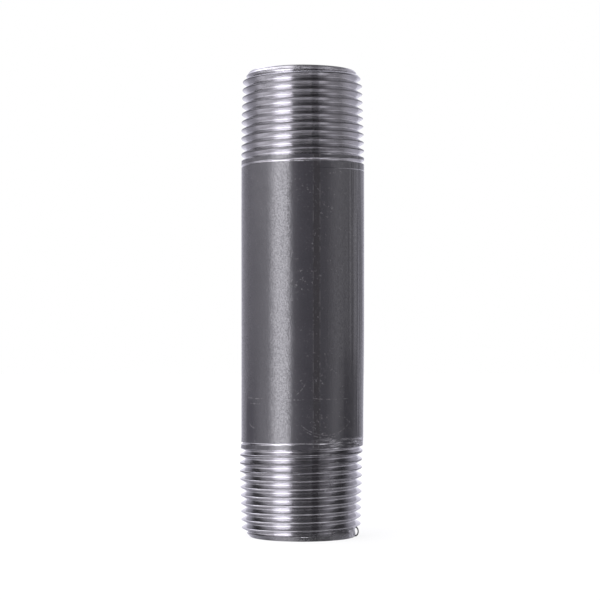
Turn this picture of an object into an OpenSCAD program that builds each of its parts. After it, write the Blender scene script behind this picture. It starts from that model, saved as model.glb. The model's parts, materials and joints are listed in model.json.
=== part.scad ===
/* [Pipe] */
// Length of the nipple from end face to end face
nipple_len = 127; // [90:1:300]
// Outside diameter of the pipe
pipe_od = 33.4; // [33.2:0.05:33.8]
// Thickness of the pipe's wall
wall_t = 3.38; // [3.2:0.02:3.6]
// Thickness of the black lacquer on the plain barrel
lacquer_t = 0.08; // [0.05:0.01:0.2]

/* [Weld] */
// Width of the weld that closes the rolled strip
weld_w = 1.9; // [1:0.1:4]
// Where the weld lies around the pipe, in degrees from +X
weld_angle = -77; // [-180:1:180]

/* [Thread] */
// Threads per inch of the tapered pipe thread
threads_per_inch = 11.5; // [11:0.5:12]
// Turns over which the groove rises out at the inner end of each thread
runout_turns = 2; // [1:0.25:3]
// Slope of the chamfer at each end, in degrees from the pipe's axis
chamfer_angle = 38; // [30:1:50]
// How far the chamfer starts below the root of the first turn
chamfer_drop = 0.08; // [0.02:0.01:0.2]
// Turn of the lower thread about the pipe's axis, in degrees
lower_start = -25; // [-180:1:180]
// Turn of the upper thread about the pipe's axis, in degrees
upper_start = -100; // [-180:1:180]
// Flat faces that make up one turn of each thread
facets = 48; // [24:4:60]

/* [Hidden] */
inch = 25.4;
pipe_r = pipe_od / 2;
bore_r = pipe_r - wall_t;
barrel_r = pipe_r - lacquer_t;

// The tapered pipe thread: a 60 degree V whose height is 0.8 of the pitch,
// on a cone that widens by 1 in 16 on the diameter.
pitch = inch / threads_per_inch;
groove_h = 0.8 * pitch;
root_flat = (pitch * cos(30) - groove_h) * tan(30);
cone_slope = 1 / 32;
end_pitch_r = (pipe_od - (0.05 * pipe_od / inch + 1.1) * pitch) / 2;
full_len = (0.8 * pipe_od / inch + 6.8) * pitch;
vanish_len = 3.47 * pitch;

// The groove runs one turn past the last thread, then a narrow land meets the barrel.
cut_len = full_len + vanish_len + pitch;
land_w = 0.3;
sleeve_len = cut_len + land_w;

// The groove keeps this depth past its end, so that its edges never meet.
skim = 0.02;

// The end face starts the chamfer at tip_r. The pipe under the thread has radius core_r.
tip_r = end_pitch_r - groove_h / 2 - chamfer_drop;
core_r = (bore_r + tip_r) / 2;

// Radius of the crests and of the roots at height z above the end face
function crest_r(z) = min(end_pitch_r + z * cone_slope + groove_h / 2, pipe_r);
function root_r(z) = end_pitch_r + z * cone_slope - groove_h / 2;

// Share of the full depth that is cut at height z: 1 along the thread, 0 past the run-out
function ease(t) = t * t * (3 - 2 * t);
function cut_share(z) = ease(max(0, min(1, (cut_len - z) / (runout_turns * pitch))));
function groove_r(z) = pipe_r - skim - (pipe_r - skim - root_r(z)) * cut_share(z);
function half_gap(z) = root_flat / 2 + (crest_r(z) - groove_r(z)) * tan(30);

// The four corners of the groove at height z, as [radius, height]
function groove_corners(z) = [
  [crest_r(z - half_gap(z)), z - half_gap(z)],
  [groove_r(z), z - root_flat / 2],
  [groove_r(z), z + root_flat / 2],
  [crest_r(z + half_gap(z)), z + half_gap(z)]
];

// One column of the threaded rod, at step j of a turn, over the given number of turns
first_turn = -2;
turn_count = ceil(sleeve_len / pitch) + 3;
function at_angle(corner, a) = [corner[0] * cos(a), corner[0] * sin(a), corner[1]];
function column(j, turns) = [
  for (k = [0 : turns - 1], corner = groove_corners(pitch * (first_turn + k + j / facets)))
    at_angle(corner, 360 * j / facets)
];

// The first column has one turn more, because the last one joins it a turn higher.
column_n = 4 * turn_count;
function corner_index(j, i) =
  j == 0 ? i : j == facets ? i + 4 : column_n + 4 + (j - 1) * column_n + i;

// A rod with the groove cut along it, longer than the thread by more than a turn at
// each end. Its two ends are fans around a point on the axis.
module threaded_rod() {
  low_tip = [0, 0, first_turn * pitch - pitch];
  high_tip = [0, 0, (first_turn + turn_count + 2) * pitch];
  corners = concat(
    column(0, turn_count + 1),
    [for (j = [1 : facets - 1]) each column(j, turn_count)],
    [low_tip, high_tip]
  );
  low = len(corners) - 2;
  high = len(corners) - 1;
  top = column_n - 1;
  flanks = [
    for (j = [0 : facets - 1], i = [0 : top - 1]) each [
      [corner_index(j, i), corner_index(j, i + 1), corner_index(j + 1, i + 1)],
      [corner_index(j, i), corner_index(j + 1, i + 1), corner_index(j + 1, i)]
    ]
  ];
  end_fans = [
    for (j = [0 : facets - 1]) each [
      [corner_index(j, 0), corner_index(j + 1, 0), low],
      [corner_index(j + 1, top), corner_index(j, top), high]
    ]
  ];
  end_steps = [
    for (i = [0 : 3]) each [
      [i + 1, i, low],
      [top + i, top + i + 1, high]
    ]
  ];
  polyhedron(points = corners, faces = concat(flanks, end_fans, end_steps));
}

// The thread as a sleeve on the pipe's core, from the end face at z = 0 upwards
module thread_sleeve(start) {
  limit_r = pipe_r + 0.3;
  chamfer_len = (limit_r - tip_r) / tan(chamfer_angle);
  intersection() {
    rotate([0, 0, start]) threaded_rod();
    rotate_extrude($fn = 96)
      polygon([
        [core_r, 0],
        [tip_r, 0],
        [limit_r, chamfer_len],
        [limit_r, sleeve_len],
        [core_r, sleeve_len]
      ]);
  }
}

// The whole pipe inside the threads and the lacquer, weld included
module pipe_core() {
  rotate_extrude($fn = 96)
    polygon([
      [bore_r, 0],
      [core_r, 0],
      [core_r, sleeve_len],
      [barrel_r, sleeve_len],
      [barrel_r, nipple_len - sleeve_len],
      [core_r, nipple_len - sleeve_len],
      [core_r, nipple_len],
      [bore_r, nipple_len]
    ]);
}

// The straight strip of the wall that the weld fills
module weld_slot() {
  margin = 1;
  rotate([0, 0, weld_angle])
    translate([0, -weld_w / 2, -margin])
      cube([pipe_od, weld_w, nipple_len + 2 * margin]);
}

// Rolled steel strip: the wall of the pipe, with the bore
module pipe_wall() {
  color("dimgray")
    difference() {
      pipe_core();
      weld_slot();
    }
}

// The weld that closes the strip, trimmed flush inside and out
module weld_seam() {
  color("slategray")
    intersection() {
      pipe_core();
      weld_slot();
    }
}

// Bright cut thread at the foot
module lower_thread() {
  color("silver")
    thread_sleeve(lower_start);
}

// Bright cut thread at the head: the same right-hand thread, turned end for end
module upper_thread() {
  color("silver")
    translate([0, 0, nipple_len])
      rotate([180, 0, 0])
        thread_sleeve(upper_start);
}

// Black lacquer on the plain barrel between the threads
module lacquer_coat() {
  color([0.17, 0.17, 0.19])
    rotate_extrude($fn = 96)
      polygon([
        [barrel_r, sleeve_len],
        [pipe_r, sleeve_len],
        [pipe_r, nipple_len - sleeve_len],
        [barrel_r, nipple_len - sleeve_len]
      ]);
}

pipe_wall();
weld_seam();
lower_thread();
upper_thread();
lacquer_coat();
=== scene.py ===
# %% [markdown]
# # A threaded pipe nipple
# A nipple is a short length of steel pipe with a tapered thread cut on each end. It screws
# into two fittings and joins them. It starts as flat strip, rolled up and welded along one
# line, then lacquered black, and last of all the two threads are cut through the lacquer
# into bright steel. A finished CAD model gives the sizes, and this lesson builds the looks
# around it: the wall, the weld, the two threads and the lacquered barrel.

# %% Load the CAD model
import json
import math

import bmesh
import bpy
from mathutils import Matrix, Vector, noise


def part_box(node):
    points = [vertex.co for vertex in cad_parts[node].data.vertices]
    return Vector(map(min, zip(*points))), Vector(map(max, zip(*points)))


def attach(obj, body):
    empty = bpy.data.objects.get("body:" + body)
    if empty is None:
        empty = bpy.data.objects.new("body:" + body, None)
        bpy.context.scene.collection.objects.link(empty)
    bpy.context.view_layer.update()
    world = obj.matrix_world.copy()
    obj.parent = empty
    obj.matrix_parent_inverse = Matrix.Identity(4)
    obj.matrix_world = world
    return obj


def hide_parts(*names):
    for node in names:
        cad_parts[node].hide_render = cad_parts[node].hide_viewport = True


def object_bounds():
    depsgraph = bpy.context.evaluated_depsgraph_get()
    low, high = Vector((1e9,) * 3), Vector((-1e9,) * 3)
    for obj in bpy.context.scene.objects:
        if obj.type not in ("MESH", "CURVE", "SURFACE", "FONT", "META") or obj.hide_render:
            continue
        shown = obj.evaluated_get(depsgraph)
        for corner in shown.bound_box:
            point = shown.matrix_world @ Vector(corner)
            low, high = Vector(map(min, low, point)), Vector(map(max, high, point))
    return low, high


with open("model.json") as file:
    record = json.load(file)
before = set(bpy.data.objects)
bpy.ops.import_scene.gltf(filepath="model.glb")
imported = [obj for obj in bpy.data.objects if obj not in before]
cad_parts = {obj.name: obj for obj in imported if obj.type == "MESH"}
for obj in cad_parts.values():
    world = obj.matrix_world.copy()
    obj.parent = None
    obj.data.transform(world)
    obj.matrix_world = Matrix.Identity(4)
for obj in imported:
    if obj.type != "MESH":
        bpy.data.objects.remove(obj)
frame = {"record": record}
cad_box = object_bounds()
print("CAD box", [[round(v, 4) for v in corner] for corner in cad_box])

# %% [markdown]
# ## Sizes
# Everything is in metres. The box of the CAD model gives the pipe's length and radius, its
# bore mount gives the bore, and the box of a thread gives how far that thread reaches. What
# is left follows from the standard for tapered pipe threads, where every size goes by the
# pitch. The two start angles say where each helix begins, and repeat the CAD model's. The
# core is the cylinder inside the metal where a thread meets the wall behind it.

# %% Sizes of the pipe and the thread
MM = 0.001
tiny = 0.001 * MM
mounts = {mount["name"]: mount for mount in frame["record"]["mounts"]}
pipe_len = cad_box[1][2]
pipe_r = cad_box[1][0]
bore_r = mounts["bore"]["dims"]["r_mm"] * MM
sleeve_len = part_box("lower_thread")[1][2]
barrel_low, barrel_high = sleeve_len, pipe_len - sleeve_len
barrel_len = barrel_high - barrel_low
lacquer_t = 0.08 * MM

inch = 25.4 * MM
turns_per_inch = 11.5
pitch = inch / turns_per_inch
tooth = 0.8 * pitch
cone_slope = 1 / 32
end_pitch_r = pipe_r - (0.05 * 2 * pipe_r / inch + 1.1) * pitch / 2
end_root_r = end_pitch_r - tooth / 2
cut_len = sleeve_len - 0.3 * MM
runout_turns = 2
chamfer = math.radians(38)
tip_r = end_root_r - 0.08 * MM
core_r = (bore_r + tip_r) / 2
ream = 0.45 * MM
lower_start, upper_start = math.radians(-25), math.radians(-100)
print("length", round(pipe_len, 4), "radius", round(pipe_r, 4), "bore", round(bore_r, 5))
print("pitch", round(pitch / MM, 4), "tooth", round(tooth / MM, 3), "cut", round(cut_len / MM, 2))

# The weld: its width, its place around the pipe and the half angle that it takes up
weld_w = 1.9 * MM
weld_angle = math.radians(-77)
weld_half = weld_w / (bore_r + pipe_r)
print("weld", round(math.degrees(2 * weld_half), 2), "degrees wide")

# %% [markdown]
# ## Camera
# The nipple stands upright and fills most of the frame. The camera is level and stands near
# the middle of its height, so the pipe's sides stay parallel, the head is seen a little from
# below and the foot a little from above. shift_y slides the view without tilting it.

# %% Place the camera
camera_distance = 0.490
camera_height = 0.055
camera_aside = -0.65 * MM
camera_data = bpy.data.cameras.new("camera")
camera_data.sensor_width = 36
camera_data.lens = 107.2218
camera_data.shift_y = 0.0585
camera = bpy.data.objects.new("camera", camera_data)
camera.location = (camera_aside, -camera_distance, camera_height)
camera.rotation_euler = (math.pi / 2, 0, 0)
bpy.context.scene.collection.objects.link(camera)
bpy.context.scene.camera = camera
view_width = camera_distance * camera_data.sensor_width / camera_data.lens
print("the view is", round(view_width, 4), "wide at the pipe")

# %% [markdown]
# ## Wiring shader nodes
# A material is a graph of nodes, which is long when it is written out in full. So one small
# class wraps an output socket. Arithmetic on it adds Math nodes, and add() makes any other
# node from its type, its settings and what goes into its sockets.

# %% A socket that can be used in expressions
class Wire:
    def __init__(self, tree, socket=None):
        self.tree = tree
        self.socket = socket

    def add(self, kind, settings=(), inputs=(), output=0):
        node = self.tree.nodes.new("ShaderNode" + kind)
        for name, value in dict(settings).items():
            if name == "stops":
                fill_ramp(node.color_ramp, value)
            else:
                setattr(node, name, value)
        for name, value in dict(inputs).items():
            if isinstance(value, Wire):
                self.tree.links.new(value.socket, node.inputs[name])
            else:
                node.inputs[name].default_value = value
        return Wire(self.tree, node.outputs[output])

    def math(self, operation, *values):
        return self.add("Math", {"operation": operation}, dict(enumerate(values)))

    def __add__(self, other):
        return self.math("ADD", self, other)

    def __radd__(self, other):
        return self.math("ADD", other, self)

    def __sub__(self, other):
        return self.math("SUBTRACT", self, other)

    def __rsub__(self, other):
        return self.math("SUBTRACT", other, self)

    def __mul__(self, other):
        return self.math("MULTIPLY", self, other)

    def __rmul__(self, other):
        return self.math("MULTIPLY", other, self)

    def __truediv__(self, other):
        return self.math("DIVIDE", self, other)

    def ramp(self, low, high, to_low=0.0, to_high=1.0):
        """Goes smoothly from to_low to to_high as the value goes from low to high."""
        inputs = {"Value": self, "From Min": low, "From Max": high, "To Min": to_low, "To Max": to_high}
        return self.add("MapRange", {"interpolation_type": "SMOOTHSTEP"}, inputs)

    def band(self, low, high, edge):
        """1 between low and high and 0 outside, with soft edges."""
        return self.ramp(low - edge, low + edge) * self.ramp(high - edge, high + edge, 1.0, 0.0)

    def either(self, other):
        return self.math("MAXIMUM", self, other)

    def mix(self, first, second):
        """The colour first where the value is 0 and second where it is 1."""
        return self.add("Mix", {"data_type": "RGBA"}, {0: self, 6: first, 7: second}, 2)


def fill_ramp(ramp, stops):
    ramp.elements[0].position = stops[0][0]
    ramp.elements[0].color = grey(stops[0][1])
    ramp.elements[1].position = stops[-1][0]
    ramp.elements[1].color = grey(stops[-1][1])
    for position, value in stops[1:-1]:
        ramp.elements.new(position).color = grey(value)


def rgb(r, g, b):
    return (r, g, b, 1.0)


def grey(value):
    return rgb(value, value, value)


def new_material(name):
    material = bpy.data.materials.new(name)
    material.use_nodes = True
    material.node_tree.nodes.clear()
    return material, Wire(material.node_tree)


def send_to_output(start, shader, kind="OutputMaterial"):
    output = start.tree.nodes.new("ShaderNode" + kind)
    start.tree.links.new(shader.socket, output.inputs["Surface"])


# %% [markdown]
# ## Where a point lies on the pipe
# The finishes follow the pipe's shape, so their patterns need a point's angle around the
# axis, its height and its distance from the nearer end, all worked out from Object
# coordinates in millimetres. The helix angle makes one full turn from each groove to the
# next. Its sine and cosine have no jump anywhere, so noise that reads them runs along the
# thread without a seam.

# %% Coordinates on a pipe
PITCH_MM = pitch / MM
LEN_MM = pipe_len / MM
PIPE_MM = pipe_r / MM
DEGREES = 180 / math.pi


def pipe_coordinates(start):
    point = start.add("TexCoord", output=3)
    x, y, z = [start.add("SeparateXYZ", inputs={0: point}, output=i) / MM for i in range(3)]
    angle = start.math("ARCTAN2", y, x)
    from_end = start.math("MINIMUM", z, LEN_MM - z)
    helix = z * (2 * math.pi / PITCH_MM) - angle
    return {"point": point, "x": x, "y": y, "z": z, "angle": angle, "end": from_end, "helix": helix}


def grain(start, at, size_mm, detail=2.0, shift=0.0):
    """Plain noise with spots of about size_mm."""
    inputs = {"Vector": at["point"], "W": shift, "Scale": 1 / (size_mm * MM), "Detail": detail}
    return start.add("TexNoise", {"noise_dimensions": "4D"}, inputs)


def lines_along_thread(start, at, across, around, detail=3.0):
    """Noise drawn out along the helix, with about 6 * across lines in a pitch."""
    x = start.math("COSINE", at["helix"]) * across
    y = start.math("SINE", at["helix"]) * across
    turn_x = start.math("COSINE", at["angle"]) * around + at["z"] * 0.35
    turn_y = start.math("SINE", at["angle"]) * around
    where = start.add("CombineXYZ", inputs={0: x, 1: y, 2: turn_x})
    inputs = {"Vector": where, "W": turn_y, "Scale": 1.0, "Detail": detail, "Roughness": 0.65}
    return start.add("TexNoise", {"noise_dimensions": "4D"}, inputs)


def lines_along_axis(start, at, across, length_mm):
    """Noise drawn out along the pipe, as dies and rolls leave it."""
    x = start.math("COSINE", at["angle"]) * across
    y = start.math("SINE", at["angle"]) * across
    where = start.add("CombineXYZ", inputs={0: x, 1: y, 2: at["z"] / length_mm})
    return start.add("TexNoise", inputs={"Vector": where, "Scale": 1.0, "Detail": 3.0, "Roughness": 0.6})


def weld_strip(at, soft_mm):
    """How far a point lies to the side of the weld's middle line, and 1 on the weld itself."""
    aside = at["y"] * math.cos(weld_angle) - at["x"] * math.sin(weld_angle)
    ahead = at["x"] * math.cos(weld_angle) + at["y"] * math.sin(weld_angle)
    half = weld_w / 2 / MM
    return aside, aside.band(-half, half, soft_mm) * ahead.ramp(0.0, 1.0)


# %% [markdown]
# ## Black lacquer
# Pipe lacquer is a thin, glossy, almost black film. It follows the fine scale under it, so
# its reflections are grainy, and it carries dust, scratches and lines drawn along the pipe.
# So two shaders are mixed: a glossy one and a low-gloss one, and noise and a few given places
# decide which of the two shows. In two low bands on the sides the gloss is taken off, which
# is painted shade.

# %% Places on the barrel
def on_side(at, first_degrees, last_degrees, edge=2.0):
    """1 between two angles around the axis, where -90 faces the camera."""
    return (at["angle"] * DEGREES).band(first_degrees, last_degrees, edge)


def facing(start, at, angle):
    """1 on the side that faces this angle, falling to -1 on the far side."""
    return start.math("COSINE", at["angle"] - angle)


def scratch(at, around, height, radius, first, last):
    """An arc drawn under a centre, in millimetres around the pipe and up from its foot."""
    around_pipe = (at["angle"] + math.pi / 2) * PIPE_MM
    aside = around_pipe - around
    drop = height - at["z"]
    off_line = aside.math("SQRT", aside * aside + drop * drop) - radius
    line = aside.math("ABSOLUTE", off_line).ramp(0.02, 0.22, 1.0, 0.0)
    return line * around_pipe.band(first, last, 0.6) * drop.ramp(-0.2, 0.2)


def all_scratches(start, at):
    """Centre around, centre height, radius, and where each scratch starts and ends."""
    arcs = [
        (6.6, 38.8, 10.4, -0.5, 13.8), (6.2, 36.6, 8.9, 0.8, 10.5), (-6.4, 45.6, 8.0, -1.5, 0.9),
        (-2.0, 87.8, 50.0, -4.4, 0.2), (-14.0, 68.0, 30.0, -17.4, -11.5), (-14.0, 66.4, 29.8, -16.8, -12.4),
        (-14.5, 33.5, 3.4, -17.6, -14.6), (9.0, 97.9, 60.0, 3.0, 13.5),
    ]
    lines = scratch(at, *arcs[0])
    for arc in arcs[1:]:
        lines = lines.either(scratch(at, *arc))
    return lines * grain(start, at, 0.7, 2.0, 12.0).ramp(0.40, 0.66)


# %% Dust, less gloss, and painted shade
def dust_specks(start, at, off_weld, weld_side):
    """Specks in clusters and along the weld, and fewer of them on the left."""
    clusters = grain(start, at, 5.0, 2.0, 5.0).ramp(0.40, 0.64)
    near_weld = off_weld.ramp(0.5, 4.5, 1.0, 0.0) * weld_side
    left_side = facing(start, at, math.radians(-150)).ramp(0.45, 0.85)
    specks = grain(start, at, 0.65, 3.0, 3.0).ramp(0.55, 0.80)
    return specks * clusters.either(near_weld * 0.6) * (1.0 - left_side * 0.7)


def low_gloss_and_shade_share(start, at, fine, weld):
    """How much of the gloss is gone: a little everywhere, more in stripes on the right, and in two low bands
    on the sides, where taking it off paints shade.
    """
    stripes = lines_along_axis(start, at, 27.0, 90.0).ramp(0.48, 0.60)
    striped_side = on_side(at, -43, -14) * stripes * 0.8
    # Painted shade: two low bands, one on each side, lose their gloss, so the barrel mirrors darker there.
    right_painted_shade = on_side(at, -49, -28) * at["z"].ramp(38.0, 66.0, 0.65, 0.0)
    left_painted_shade = on_side(at, -155, -142) * at["z"].ramp(35.5, 41.0, 0.75, 0.0)
    share = fine.ramp(0.40, 0.62) * 0.40 + weld * 0.05
    return share.either(right_painted_shade).either(left_painted_shade).either(striped_side)


# %% Lacquer shader
def lacquer_colour(start, at, tone, dust, weld, weld_edge):
    """Near black, browner on the weld, with pale dust, scratches and a rim beside the weld."""
    clean = tone.mix(rgb(0.0225, 0.0215, 0.0255), rgb(0.041, 0.0395, 0.0445))
    brown = weld * (0.2 + grain(start, at, 2.0) * 0.5)
    rim = weld_edge * grain(start, at, 1.5, 2.0, 7.0).ramp(0.4, 0.6) * 0.6
    colour = brown.mix(clean, rgb(0.018, 0.0155, 0.015))
    colour = rim.mix(colour, rgb(0.09, 0.088, 0.09))
    colour = (dust * 0.7).mix(colour, rgb(0.12, 0.116, 0.12))
    return (all_scratches(start, at) * 0.6).mix(colour, rgb(0.14, 0.136, 0.14))


def lacquer_shader(start, at):
    fine = grain(start, at, 0.40, 3.0)
    drawn = lines_along_axis(start, at, 60.0, 30.0)
    aside, weld = weld_strip(at, 0.25)
    off_weld = aside.math("ABSOLUTE", aside)
    half_weld = weld_w / 2 / MM
    weld_side = facing(start, at, weld_angle).ramp(0.9, 1.0)
    weld_edge = off_weld.band(half_weld - 0.12, half_weld + 0.06, 0.05) * weld_side
    dust = dust_specks(start, at, off_weld, weld_side)
    tone = grain(start, at, 7.0) * 0.5 + fine * 0.3 + drawn * 0.2
    colour = lacquer_colour(start, at, tone, dust, weld, weld_edge)

    slow = grain(start, at, 3.0, 1.0, 1.0)
    height = fine * 1.8 + slow * 5.0 + drawn * 0.7 + dust - weld
    bump = start.add("Bump", inputs={"Strength": 1.0, "Distance": 0.012 * MM, "Height": height})
    rough = 0.15 + fine * 0.08 + dust * 0.2
    inputs = {"Base Color": colour, "Specular IOR Level": 0.58, "Roughness": rough, "Normal": bump}
    glossy = start.add("BsdfPrincipled", inputs=inputs)
    inputs = {"Base Color": colour, "Specular IOR Level": 0.05, "Roughness": 0.5, "Normal": bump}
    low_gloss = start.add("BsdfPrincipled", inputs=inputs)
    # Where the low-gloss shader shows in the two low bands, it paints shade.
    share = low_gloss_and_shade_share(start, at, fine, weld)
    return start.add("MixShader", inputs={0: share, 1: glossy, 2: low_gloss})


# %% [markdown]
# ## Cut steel
# A thread die leaves bright steel with fine lines along the helix. Across those lines the
# reflections smear out, along them they stay sharp, which is why a lamp shows as an upright
# band with clean sides. So the roughness is low, and the bump has lines in one direction.
# Where the die tore the steel the surface is rough and spotty, and soot sits on the chamfers
# and on the burrs. Painted shade darkens the foot on its right, a band on the right of the lower
# thread and the crests of the upper thread. Which points are crests or burrs can't be read from
# coordinates alone, so the thread's mesh carries that as an attribute called height: 0 in the
# root of a groove, 1 on a crest and -1 on a burr.

# %% Soot on the chamfers and the burrs, and painted shade at the foot
def soot_and_foot_shade(start, at, burr):
    chamfer_zone = at["end"].ramp(1.6, 2.4, 1.0, 0.0)
    flecks = grain(start, at, 0.35, 3.0, 4.0).ramp(0.48, 0.60)
    flecks = flecks * grain(start, at, 5.0, 1.0, 6.0).ramp(0.36, 0.56)
    flecks = flecks * chamfer_zone * (0.3 + on_side(at, -103, -84, 3.0) * 0.7)
    # Painted shade: the foot on the right, towards the camera, is darkened in mottled patches, standing in
    # for a dark reflection.
    painted_foot_shade = at["x"].ramp(6.0, 10.0) * (0.0 - at["y"]).ramp(-2.0, 1.0)
    painted_foot_shade = painted_foot_shade * at["z"].ramp(2.4, 3.2, 0.75, 0.0)
    shade_mottle = 0.5 + grain(start, at, 0.7, 2.0, 8.0).ramp(0.35, 0.6) * 0.5
    return flecks.either(burr).either(painted_foot_shade * shade_mottle)


# %% Cut steel shader
def cut_steel_shader(start, at):
    fine = lines_along_thread(start, at, 6.0, 5.0)
    broad = lines_along_thread(start, at, 1.5, 2.0)
    torn = grain(start, at, 5.0, 2.0, 2.0).ramp(0.60, 0.72)
    torn = torn * lines_along_thread(start, at, 4.0, 60.0, 2.0).ramp(0.45, 0.7)
    weld = weld_strip(at, 0.2)[1]

    height_share = start.add("Attribute", {"attribute_name": "height"}, output=2)
    crest = height_share.ramp(0.86, 0.98)
    # Painted shade: the crests of the upper half are darkened and a little smoother, so the upper thread's
    # crest lines show dimmer.
    upper_crest_shade = crest * at["z"].ramp(LEN_MM * 0.4, LEN_MM * 0.6)
    burr = height_share.ramp(-0.9, -0.4, 1.0, 0.0)
    # The soot flecks on the chamfers and the soot on the burrs are real; the part at the foot's right is
    # painted shade.
    soot_and_shade = soot_and_foot_shade(start, at, burr)

    tone = fine.ramp(0.3, 0.7) * 0.45 + broad.ramp(0.3, 0.7) * 0.55
    bright = tone.mix(rgb(0.38, 0.375, 0.385), rgb(0.52, 0.515, 0.53))
    # Painted shade: a darker band on the right of the lower thread, standing in for a dark reflection.
    painted_dark_band = on_side(at, -49, -31, 4.0) * at["z"].ramp(24.0, 28.0, 0.26, 0.0)
    # Torn steel and the weld are real wear; the dark band and the darker upper crests are painted shade.
    worn_and_shaded = (painted_dark_band + torn * 0.5 + weld * 0.3 + upper_crest_shade * 0.9).mix(bright, rgb(0.11, 0.108, 0.115))
    colour = (soot_and_shade * 0.85).mix(worn_and_shaded, rgb(0.035, 0.032, 0.036))

    height = fine + broad * 0.7 + torn * 1.2
    bump = start.add("Bump", inputs={"Strength": 0.55, "Distance": 0.022 * MM, "Height": height})
    inputs = {
        "Base Color": colour,
        "Metallic": 1.0 - soot_and_shade * 0.7,
        "Roughness": 0.16 + crest * 0.06 - upper_crest_shade * 0.04 + torn * 0.2 + soot_and_shade * 0.3,
        "Normal": bump,
    }
    return start.add("BsdfPrincipled", inputs=inputs)


# %% [markdown]
# ## Two finishes on one thread
# At the run-out the die only skims the pipe, so the lacquer is still there between the last
# grooves. A second attribute of the thread's mesh, film, is near 1 where the pipe's own surface
# was left and falls below 0 where the cut is deeper than the lacquer. It mixes the two
# shaders, with a ragged border, and the die has scraped some of the film away at the foot.

# %% Finishes of the threads and the barrel
lacquer, start = new_material("black_lacquer")
send_to_output(start, lacquer_shader(start, pipe_coordinates(start)))
print("lacquer:", len(start.tree.nodes), "nodes")

thread_finish, start = new_material("cut_steel")
at = pipe_coordinates(start)
film = start.add("Attribute", {"attribute_name": "film"}, output=2) + grain(start, at, 0.5) * 0.4
film = film.ramp(0.76, 1.12) * at["end"].ramp(12.0, 14.0)
at_foot = at["z"].ramp(LEN_MM * 0.4, LEN_MM * 0.5, 1.0, 0.0)
scraped = lines_along_thread(start, at, 6.0, 4.0).ramp(0.55, 0.60) * at_foot
film = film * (1.0 - scraped * on_side(at, -80, 10, 10.0))
steel, left_black = cut_steel_shader(start, at), lacquer_shader(start, at)
send_to_output(start, start.add("MixShader", inputs={0: film, 1: steel, 2: left_black}))
print("threads:", len(start.tree.nodes), "nodes")

# %% [markdown]
# ## Mill scale and the weld
# Inside, the pipe keeps the dark blue-grey scale of the mill, with brown dust in patches. The
# weld is a slightly brighter, rippled line of metal that was melted last.

# %% Mill scale and weld shaders
scale_finish, start = new_material("mill_scale")
at = pipe_coordinates(start)
patches = grain(start, at, 3.0, 5.0)
rust = grain(start, at, 4.0, 4.0, 9.0).ramp(0.55, 0.72)
drawn = lines_along_axis(start, at, 25.0, 12.0)
tone = (patches * 0.6 + drawn * 0.4).ramp(0.35, 0.65)
colour = tone.mix(rgb(0.045, 0.045, 0.052), rgb(0.15, 0.145, 0.155))
colour = (rust * 0.6).mix(colour, rgb(0.11, 0.06, 0.035))
height = patches + drawn * 0.5 + grain(start, at, 0.3) * 0.3
bump = start.add("Bump", inputs={"Strength": 0.6, "Distance": 0.05 * MM, "Height": height})
metal, rough = 0.6 - rust * 0.5, 0.42 + patches * 0.2
inputs = {"Base Color": colour, "Metallic": metal, "Roughness": rough, "Normal": bump}
send_to_output(start, start.add("BsdfPrincipled", inputs=inputs))
print("mill scale:", len(start.tree.nodes), "nodes")

weld_finish, start = new_material("weld_steel")
at = pipe_coordinates(start)
ripple = start.math("SINE", at["z"] * 7.0 + grain(start, at, 2.0) * 6.0) * 0.5 + 0.5
spots = grain(start, at, 0.6, 4.0)
colour = (ripple * 0.4 + spots * 0.6).mix(rgb(0.10, 0.098, 0.11), rgb(0.36, 0.35, 0.37))
bump = start.add("Bump", inputs={"Strength": 0.6, "Distance": 0.04 * MM, "Height": ripple + spots})
inputs = {"Base Color": colour, "Metallic": 0.9, "Roughness": 0.25 + spots * 0.25, "Normal": bump}
send_to_output(start, start.add("BsdfPrincipled", inputs=inputs))
print("weld:", len(start.tree.nodes), "nodes")


# %% [markdown]
# ## Keeping a finished mesh
# Every mesh ends the same way: its normals are turned outwards, flat and round stretches are
# told apart by the angle between their faces, and the piece is tied to the CAD model.

# %% Finish a piece
def finish_piece(bm, name, material, node, sharp_degrees=40):
    bmesh.ops.recalc_face_normals(bm, faces=bm.faces)
    for face in bm.faces:
        face.smooth = True
    for edge in bm.edges:
        edge.smooth = edge.is_manifold and edge.calc_face_angle(0) < math.radians(sharp_degrees)
    open_edges = sum(not edge.is_manifold for edge in bm.edges)
    triangles = sum(len(face.verts) - 2 for face in bm.faces)
    mesh = bpy.data.meshes.new(name)
    bm.to_mesh(mesh)
    bm.free()
    mesh.materials.append(material)
    piece = bpy.data.objects.new(name, mesh)
    bpy.context.scene.collection.objects.link(piece)
    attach(piece, "root")
    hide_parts(node)
    print(name, triangles, "triangles,", open_edges, "open edges")
    return piece


# %% [markdown]
# ## The thread
# A die cuts a 60 degree V with a slightly rounded root, and the crest keeps a narrow flat.
# The thread could be a twisted extrusion, but its depth changes along the pipe: it tapers,
# it meets the chamfer at the end face, and it runs out at the barrel. So a chain of points
# is spun around the axis and lifted by one pitch in a turn, which makes a helical sheet. Its
# points are then moved in and out to the radius that the cut has at that place. That radius
# is the smallest of three: the V of the groove, the pipe's own surface and the chamfer's cone,
# each blended into the next over a few hundredths of a millimetre, as worn edges are.

# %% Radius of the cut surface
root_half = 0.04 * MM
root_blend = 0.13 * MM
crest_height = 1.71 * MM
lower_crest_blend = 0.30 * MM
upper_crest_blend = 0.07 * MM
pipe_blend = 0.02 * MM
chamfer_blend = 0.04 * MM
skim = 0.09 * MM
short_waves, long_waves = 0.018 * MM, 0.015 * MM
least_raggedness = -0.01 * MM
chamfer_waves = 0.02 * MM


def ease(t):
    t = min(max(t, 0.0), 1.0)
    return t * t * (3 - 2 * t)


def soft_min(a, b, blend):
    h = max(blend - abs(a - b), 0.0) / blend
    return min(a, b) - h * h * blend / 4


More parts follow.
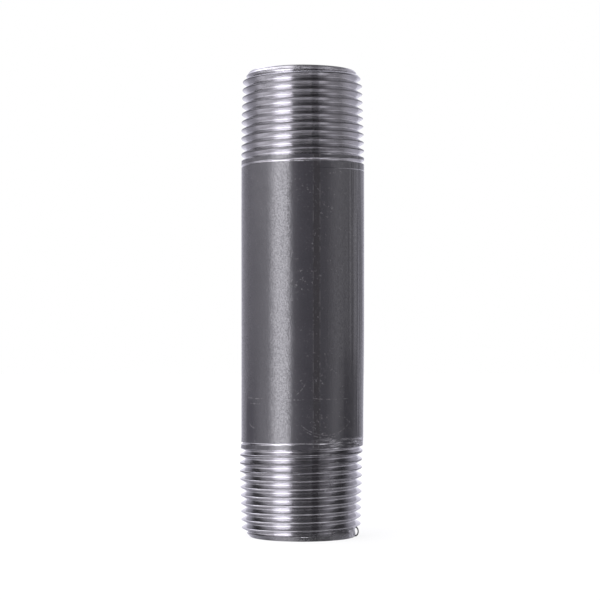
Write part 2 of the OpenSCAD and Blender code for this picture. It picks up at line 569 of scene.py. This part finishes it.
def height_in_groove(turn, crest_blend):
    """Height above the root, where turn goes from 0 in one groove to 1 in the next."""
    aside = abs((turn + 0.5) % 1 - 0.5) * pitch
    flank = (aside - root_half) * math.sqrt(3)
    low = -soft_min(-flank, 0.0, root_blend)
    return soft_min(low, crest_height, crest_blend)


def move_out(v, distance):
    r = math.hypot(v.co.x, v.co.y)
    v.co.x *= 1 + distance / r
    v.co.y *= 1 + distance / r


def lift_of_groove(z, root):
    """How far the groove has risen out of the steel at height z."""
    share = ease((cut_len - z) / (runout_turns * pitch))
    return (pipe_r - skim - root) * (1 - share)


def cut_radius(height, z, angle):
    """Ragged at the crests, and nowhere out past the pipe's own surface or the chamfer's cone."""
    root = end_root_r + z * cone_slope
    around = Vector((math.cos(angle) * 9, math.sin(angle) * 9, z / MM * 1.4))
    crest_share = (height / crest_height) ** 3
    ragged = noise.noise(around * 2.3) * short_waves + noise.noise(around * 0.5) * long_waves
    r = root + height + lift_of_groove(z, root) - crest_share * max(ragged, least_raggedness)
    r = soft_min(r, pipe_r, pipe_blend)
    cone = tip_r + z * math.tan(chamfer) + noise.noise(around * 1.3) * chamfer_waves
    return soft_min(r, cone, chamfer_blend)


print("the groove is", round(crest_height / MM, 2), "mm deep, the tooth", round(tooth / MM, 2))


# %% [markdown]
# ## Spinning the thread
# The points of the chain crowd together at the crests and the roots, where the surface turns,
# and leave the straight flanks with few. The sheet starts two turns below the end face,
# because it climbs as it goes round. Each point keeps the two attributes that the finish
# reads: how high it is above the root, and how near to the pipe's own surface it was left.

# %% Spin the thread
points_per_pitch = 30
columns = 192
crowding = 0.7
film_depth = 0.05 * MM
turns_below, turns_above = 2, 1


def spun_thread(start_angle, crest_blend):
    turns = turns_below + math.ceil(sleeve_len / pitch) + turns_above
    bm = bmesh.new()
    chain = []
    for i in range(turns * points_per_pitch + 1):
        t = i / points_per_pitch
        t -= crowding * math.sin(4 * math.pi * t) / (4 * math.pi)
        chain.append(bm.verts.new((pipe_r, 0, (t - turns_below) * pitch)))
    edges = [bm.edges.new(pair) for pair in zip(chain, chain[1:])]
    bmesh.ops.spin(
        bm, geom=chain + edges, cent=(0, 0, 0), axis=(0, 0, 1), angle=2 * math.pi,
        dvec=(0, 0, pitch / columns), steps=columns, use_merge=False, use_duplicate=False,
    )
    bmesh.ops.remove_doubles(bm, verts=bm.verts, dist=tiny / 10)
    bmesh.ops.rotate(bm, verts=bm.verts, cent=(0, 0, 0), matrix=Matrix.Rotation(start_angle, 3, "Z"))
    height_layer = bm.verts.layers.float.new("height")
    film_layer = bm.verts.layers.float.new("film")
    for v in bm.verts:
        angle = math.atan2(v.co.y, v.co.x)
        turn = v.co.z / pitch - (angle - start_angle) / (2 * math.pi)
        height = height_in_groove(turn, crest_blend)
        r = cut_radius(height, v.co.z, angle)
        v[height_layer] = height / crest_height
        v[film_layer] = 1 - (pipe_r - r) / film_depth
        move_out(v, r - math.hypot(v.co.x, v.co.y))
    return bm


# %% [markdown]
# ## Closing the thread
# The helical sheet is cut off square at the end face and at the barrel. Then each cut edge
# is extruded inwards, over the end face and the reamed corner of the bore, and the two are
# bridged behind the thread, which makes a closed sleeve.

# %% Trim and close
def trim(bm, height, keep_above):
    geom = list(bm.verts) + list(bm.edges) + list(bm.faces)
    bmesh.ops.bisect_plane(
        bm, geom=geom, plane_co=(0, 0, height), plane_no=(0, 0, 1),
        clear_inner=keep_above, clear_outer=not keep_above,
    )


def open_ring(bm, height):
    return [e for e in bm.edges if e.is_boundary and all(abs(v.co.z - height) < tiny for v in e.verts)]


def extrude_ring(bm, edges, radius, height):
    made = bmesh.ops.extrude_edge_only(bm, edges=edges)["geom"]
    for v in made:
        if isinstance(v, bmesh.types.BMVert):
            scale = radius / math.hypot(v.co.x, v.co.y)
            v.co = Vector((v.co.x * scale, v.co.y * scale, height))
    return [e for e in made if isinstance(e, bmesh.types.BMEdge)]


def close_inside(bm):
    foot = open_ring(bm, 0.0)
    rounding = 0.08 * MM
    steps = ((tip_r - rounding, 0.0), (bore_r + ream, 0.0), (bore_r, ream), (core_r, ream))
    for radius, height in steps:
        foot = extrude_ring(bm, foot, radius, height)
    head = extrude_ring(bm, open_ring(bm, sleeve_len), core_r, sleeve_len)
    bmesh.ops.bridge_loops(bm, edges=foot + head)


def thread_sleeve(start_angle, crest_blend):
    bm = spun_thread(start_angle, crest_blend)
    trim(bm, 0.0, keep_above=True)
    trim(bm, sleeve_len, keep_above=False)
    close_inside(bm)
    return bm


def on_outside(v):
    """Whether a point is on the thread itself, and not on the core or the bore."""
    return math.hypot(v.co.x, v.co.y) > core_r + 0.1 * MM


# %% [markdown]
# ## Burrs
# A die pushes thin curls of steel off the last crest. Two of them hang at the foot. A curl is
# a small ring of points spun part of the way around a nearby axis, with both ends filled. Its
# height attribute is set to -1, which tells the finish to make it sooty.

# %% Curls of steel
curl_steps = 16


def add_curl(bm, angle, radius, height, bend_r, first, sweep, wire_r, lean, stretch=1.0):
    """angle, radius and height place it, bend_r, first and sweep bend it, lean and stretch pull it."""
    height_layer = bm.verts.layers.float["height"]
    ring = bmesh.ops.create_circle(bm, segments=8, radius=wire_r)["verts"]
    ring_edges = list({e for v in ring for e in v.link_edges})
    bmesh.ops.translate(bm, verts=ring, vec=(bend_r, 0, 0))
    made = bmesh.ops.spin(
        bm, geom=ring + ring_edges, cent=(0, 0, 0), axis=(0, 1, 0), angle=sweep,
        steps=curl_steps, dvec=(0, lean / curl_steps, 0), use_merge=False, use_duplicate=False,
    )["geom_last"]
    last = [e for e in made if isinstance(e, bmesh.types.BMEdge)]
    bmesh.ops.edgeloop_fill(bm, edges=last)
    bmesh.ops.edgeloop_fill(bm, edges=ring_edges)
    curl = set(ring)
    todo = list(ring)
    while todo:
        for edge in todo.pop().link_edges:
            for v in edge.verts:
                if v not in curl:
                    curl.add(v)
                    todo.append(v)
    curl = list(curl)
    for v in curl:
        v[height_layer] = -1.0
    bmesh.ops.rotate(bm, verts=curl, cent=(0, 0, 0), matrix=Matrix.Rotation(-first, 3, "Y"))
    bmesh.ops.scale(bm, verts=curl, vec=(1.0, 1.0, stretch))
    bmesh.ops.translate(bm, verts=curl, vec=(radius, 0, height))
    bmesh.ops.rotate(bm, verts=curl, cent=(0, 0, 0), matrix=Matrix.Rotation(angle, 3, "Z"))


# %% [markdown]
# ## Two threads from one recipe
# Both threads come from the same function. The lower one is then spoiled as the real one was:
# part of the last crest is torn off, the last turn of its groove isn't cut through everywhere,
# and it sits a little off centre, because the pipe wasn't held quite true in the machine. The
# upper one is turned end for end. It and the barrel share a slight bulge to one side.

# %% How far the pipe bulges to one side
bulge_angle = math.radians(8)
bulge_most = 0.23 * MM


def bulge(point):
    """How far the barrel and the thread above it stand out at a point."""
    aside = max(math.cos(math.atan2(point.y, point.x) - bulge_angle), 0.0) ** 2
    rise = ease((point.z - barrel_low) / (0.4 * barrel_len))
    fall = ease((barrel_high + 15 * MM - point.z) / (12 * MM))
    return bulge_most * aside * rise * fall


# %% Where the lower thread is spoiled
tear_angle, tear_half, tear_soft = math.radians(-8), math.radians(26), math.radians(8)
tear_height = 2.5 * MM
fill_height = 25.7 * MM
off_centre = 0.36 * MM


def torn_off(v):
    """1 where the crest beside the end face is gone, with a soft border."""
    aside = abs(math.atan2(v.co.y, v.co.x) - tear_angle)
    return ease((tear_half - aside) / tear_soft) * ease((tear_height - v.co.z) / (0.5 * MM))


def filled(v):
    """1 in the two places where the last turn of the groove was never cut through."""
    angle = math.atan2(v.co.y, v.co.x)
    side = math.cos(angle - math.radians(-28)) - math.cos(math.radians(48))
    gap = math.cos(angle - math.radians(-116)) - math.cos(math.radians(5))
    inside = max(side, gap * 60)
    return ease((v.co.z - fill_height) / (0.6 * MM)) * ease((inside + 0.2) / 0.4)


def off_centre_share(z):
    """0 at the end face and at the barrel, where the thread still meets its neighbours."""
    return ease((sleeve_len - z) / (7 * MM)) * ease(z / (2.5 * MM))


# %% Lower thread
bm = thread_sleeve(lower_start, lower_crest_blend)
film_layer = bm.verts.layers.float["film"]
torn_r = end_root_r + 0.1 * MM
filled_r = pipe_r - 0.012 * MM
film_on_fill = 0.95
for v in bm.verts:
    if on_outside(v):
        move_out(v, torn_off(v) * min(torn_r - math.hypot(v.co.x, v.co.y), 0.0))
        fill = filled(v)
        move_out(v, fill * max(filled_r - math.hypot(v.co.x, v.co.y), 0.0))
        v[film_layer] = max(v[film_layer], fill * film_on_fill)
        v.co.x -= off_centre * off_centre_share(v.co.z)
add_curl(
    bm, angle=math.radians(-8), radius=14.40 * MM, height=1.42 * MM, bend_r=0.98 * MM,
    first=math.radians(75), sweep=math.radians(158), wire_r=0.17 * MM, lean=0.2 * MM, stretch=1.3,
)
add_curl(
    bm, angle=math.radians(184), radius=15.0 * MM, height=2.6 * MM, bend_r=0.7 * MM,
    first=math.radians(50), sweep=math.radians(100), wire_r=0.06 * MM, lean=0.4 * MM,
)
finish_piece(bm, "lower_thread_cut", thread_finish, "lower_thread")

# %% Upper thread, made in the same way and turned end for end
bm = thread_sleeve(upper_start, upper_crest_blend)
bmesh.ops.rotate(bm, verts=bm.verts, cent=(0, 0, 0), matrix=Matrix.Rotation(math.pi, 3, "X"))
bmesh.ops.translate(bm, verts=bm.verts, vec=(0, 0, pipe_len))
for v in bm.verts:
    if on_outside(v):
        move_out(v, bulge(v.co))
finish_piece(bm, "upper_thread_cut", thread_finish, "upper_thread")


# %% [markdown]
# ## Wall and weld
# The wall is a strip of steel rolled into a tube that isn't quite closed, and the weld fills
# what is left. Both have the same section, so one outline is spun twice: almost all the way
# round for the wall, and over the last few degrees for the weld.

# %% Spin a section part of the way round
bore_rows = 60
barrel_r = pipe_r - lacquer_t


def wall_section():
    """Radius and height of each corner, down the bore in many rows and up the outside."""
    bore_len = pipe_len - 2 * ream
    inside = [(bore_r, pipe_len - ream - bore_len * i / bore_rows) for i in range(bore_rows + 1)]
    outside = [(core_r, ream), (core_r, barrel_low), (barrel_r, barrel_low)]
    outside += [(barrel_r, barrel_high), (core_r, barrel_high), (core_r, pipe_len - ream)]
    return inside + outside


def spun_section(points, first_angle, sweep, steps):
    bm = bmesh.new()
    verts = [bm.verts.new((r, 0, z)) for r, z in points]
    edges = [bm.edges.new(pair) for pair in zip(verts, verts[1:] + verts[:1])]
    turn = Matrix.Rotation(first_angle, 3, "Z")
    bmesh.ops.rotate(bm, verts=verts, cent=(0, 0, 0), matrix=turn)
    whole = sweep > 2 * math.pi - 0.001
    made = bmesh.ops.spin(
        bm, geom=verts + edges, cent=(0, 0, 0), axis=(0, 0, 1), angle=sweep,
        steps=steps, use_merge=whole, use_duplicate=False,
    )["geom_last"]
    if not whole:
        bmesh.ops.edgeloop_fill(bm, edges=edges)
        bmesh.ops.edgeloop_fill(bm, edges=[e for e in made if isinstance(e, bmesh.types.BMEdge)])
    return bm


# %% Wall
bm = spun_section(wall_section(), weld_angle + weld_half, 2 * math.pi - 2 * weld_half, 180)
finish_piece(bm, "rolled_wall", scale_finish, "pipe_wall")

# %% Weld, with a low uneven bead along the bore
bm = spun_section(wall_section(), weld_angle - weld_half, 2 * weld_half, 8)
bead_height = 0.14 * MM
for v in bm.verts:
    r = math.hypot(v.co.x, v.co.y)
    aside = (math.atan2(v.co.y, v.co.x) - weld_angle) / weld_half
    if r < bore_r + tiny and ream * 2 < v.co.z < pipe_len - ream * 2:
        wave = 0.7 + 0.5 * noise.noise(Vector((0, 0, v.co.z / MM * 0.45)))
        move_out(v, -bead_height * wave * (1 - aside * aside))
finish_piece(bm, "weld_line", weld_finish, "weld_seam")

# %% [markdown]
# ## Lacquered barrel
# Between the threads the lacquer lies on pipe that was never perfectly round or straight. So
# the skin has many rows, and its outside moves in and out by a few hundredths of a
# millimetre, which bends the long reflections a little, on top of the bulge to one side. The
# weld shows through it as a browner line with a shallow step, which its finish draws.

# %% Lacquer skin
skin_rows = 72
skin_waves = 0.035 * MM
outside = [(pipe_r, barrel_low + barrel_len * i / skin_rows) for i in range(skin_rows + 1)]
inside = [(barrel_r, barrel_high), (barrel_r, barrel_low)]
bm = spun_section(outside + inside, 0.0, 2 * math.pi, 256)
for v in bm.verts:
    if math.hypot(v.co.x, v.co.y) > pipe_r - lacquer_t / 2:
        along = (v.co.z - barrel_low) / barrel_len
        fade = ease(along * 6) * ease((1 - along) * 6)
        where = Vector((v.co.x / MM * 0.11, v.co.y / MM * 0.11, v.co.z / MM * 0.03))
        move_out(v, noise.noise(where) * skin_waves * fade + bulge(v.co))
finish_piece(bm, "lacquer_skin", lacquer, "lacquer_coat")

# %% [markdown]
# ## Floor
# The floor is plain white paper, partly glowing, so that it stays as white as the backdrop.
# It shows to the camera only, because the pipe would mirror it. What the pipe mirrors below
# it is drawn in the world shader instead.

# %% Floor
bm = bmesh.new()
bmesh.ops.create_grid(bm, x_segments=1, y_segments=1, size=2.0)
floor_mesh = bpy.data.meshes.new("floor")
bm.to_mesh(floor_mesh)
bm.free()
floor = bpy.data.objects.new("floor", floor_mesh)
bpy.context.scene.collection.objects.link(floor)
floor.visible_glossy = False
floor.visible_diffuse = False
floor_finish, start = new_material("white_paper")
paper = start.add("BsdfDiffuse", inputs={"Color": grey(0.9)})
glow = start.add("Emission", inputs={"Color": grey(1.0), "Strength": 1.01})
send_to_output(start, start.add("MixShader", inputs={0: 0.85, 1: paper, 2: glow}))
floor_mesh.materials.append(floor_finish)
print("floor", [round(side, 2) for side in floor.dimensions[:2]])

# %% [markdown]
# ## Light
# Shiny metal has almost no look of its own: it shows the room. Lamps in a scene would light
# it, but their shapes are hard to place on dozens of narrow flanks. So the room is drawn in
# the world shader by direction, in degrees to the right of the camera and in degrees up. The
# smooth barrel mirrors what stands at eye level: a tall soft lamp on the left, the dark room
# behind the camera and white walls at the sides. The rounded crests of the threads mirror the
# ceiling, and so do their grooves, where light goes from one flank to the other and out. So
# the ceiling decides the thin light lines along the threads.

# %% Directions
world = bpy.data.worlds.new("studio")
bpy.context.scene.world = world
world.use_nodes = True
world.node_tree.nodes.clear()
start = Wire(world.node_tree)
direction = start.add("TexCoord", output=0)
x, y, z = [start.add("SeparateXYZ", inputs={0: direction}, output=i) for i in range(3)]
azimuth = start.math("ARCTAN2", x, 0 - y) * DEGREES
elevation = start.math("ARCSINE", z) * DEGREES

# %% The room at eye level, and the lamp
room_brightest = 2.0
lamp_power = 8.0


def room_stops():
    """The room's brightness by degrees to the right of the camera, as ramp stops."""
    degrees = [
        (-180, 1.05), (-140, 0.85), (-118, 0.80), (-95, 1.10), (-78, 1.50), (-60, 1.9),
        (-14, 0.5), (-4, 0.25), (8, 0.16), (20, 0.20), (28, 0.42), (44, 0.46), (55, 1.1),
        (66, 1.5), (78, 1.5), (88, 1.1), (104, 1.55), (150, 0.95), (180, 1.05),
    ]
    return [((d + 180) / 360, v / room_brightest) for d, v in degrees]


room = start.add("ValToRGB", {"stops": room_stops()}, {0: azimuth / 360 + 0.5}) * room_brightest
lamp_sides = azimuth.ramp(-68, -46) * azimuth.ramp(-27.5, -20, 1.0, 0.0)
lamp_ends = elevation.ramp(-26, -10) * elevation.ramp(14, 32, 1.0, 0.0)
lamp = lamp_sides * lamp_ends * lamp_power
print("the room has", len(room_stops()), "stops and the lamp a power of", lamp_power)

# %% [markdown]
# ## A little above and below eye level
# Light that meets three flanks in a 60 degree groove leaves it as if from a flat mirror. The
# camera sees the foot from a little above and the head from a little below, so the lower
# thread mirrors the room just below eye level, and the upper one just above it. Each can be
# lit alone this way. Just below eye level the white side walls are dimmed and the dark front
# is lifted, and just above it the left is lifted.

# %% Near eye level
just_below = elevation.ramp(-3.5, -1.0, 1.0, 0.0)
just_above = elevation.ramp(4.5, 7.0)
side_walls = azimuth.band(73, 114, 5.0).either(azimuth.band(-128, -95, 6.0))
dimming = elevation.ramp(-30, -9, 0.42, 1.0) * (1.0 - side_walls * just_below * 0.78)
front_lift = azimuth.band(-16, 26, 5.0) * 1.3 + azimuth.band(-84, -56, 6.0) * 0.35
left_lift = azimuth.band(-112, -52, 8.0) * 1.1
lifts = 1.0 + just_below * front_lift + just_above * left_lift

# %% [markdown]
# ## Overhead and underfoot
# The ceiling has a wide panel from behind on the left round to the front, a second one behind
# on the right, and brighter or shaded stretches between them. Over the camera its lower part
# is bright, for the crests, and its upper part dark, for the grooves. Straight overhead is a
# skylight on the left. Far below, the floor is lighter on the left, towards the lamp.

# %% Ceiling, skylight and floor
wide_panel, back_panel = azimuth.ramp(45, 72, 1.25, 0.0), azimuth.ramp(150, 180, 0.0, 0.9)
back_left_panel = azimuth.band(-172, -114, 8.0) * 1.2
shade = azimuth.band(-112, -45, 10.0) * 0.4 + azimuth.band(85, 150, 12.0) * 0.45
ceiling = 0.75 + wide_panel.either(back_panel) + back_left_panel - shade
over_camera = azimuth.band(-17, 62, 6.0) * elevation.ramp(43, 50, 0.8, -0.85)
ceiling = ceiling * (1.0 + over_camera)
skylight = x.ramp(-0.24, -0.12, 2.3, 0.3)
zenith = elevation.ramp(60, 70)
overhead = ceiling * (1.0 - zenith) + skylight * zenith
above = elevation.ramp(22, 42)
level = (room * lifts * (1.0 - above) + overhead * above) * dimming + lamp
floor_light = x.ramp(-0.25, 0.0, 0.6, 0.14)
nadir = elevation.ramp(-62, -48, 1.0, 0.0)
level = level * (1.0 - nadir) + floor_light * nadir

# %% World, which the camera itself sees as plain white
behind = azimuth.math("ABSOLUTE", azimuth).ramp(90, 150)
violet = behind.mix(rgb(1.0, 0.985, 1.05), rgb(1.0, 0.98, 1.12))
camera_ray = start.add("LightPath", output=0)
strength = camera_ray + (1.0 - camera_ray) * level
colour = camera_ray.mix(violet, grey(1.0))
send_to_output(start, start.add("Background", inputs={"Color": colour, "Strength": strength}), "OutputWorld")
world.cycles.sampling_method = "MANUAL"
world.cycles.sample_map_resolution = 512
bpy.context.scene.view_settings.view_transform = "Standard"
print("world:", len(start.tree.nodes), "nodes")
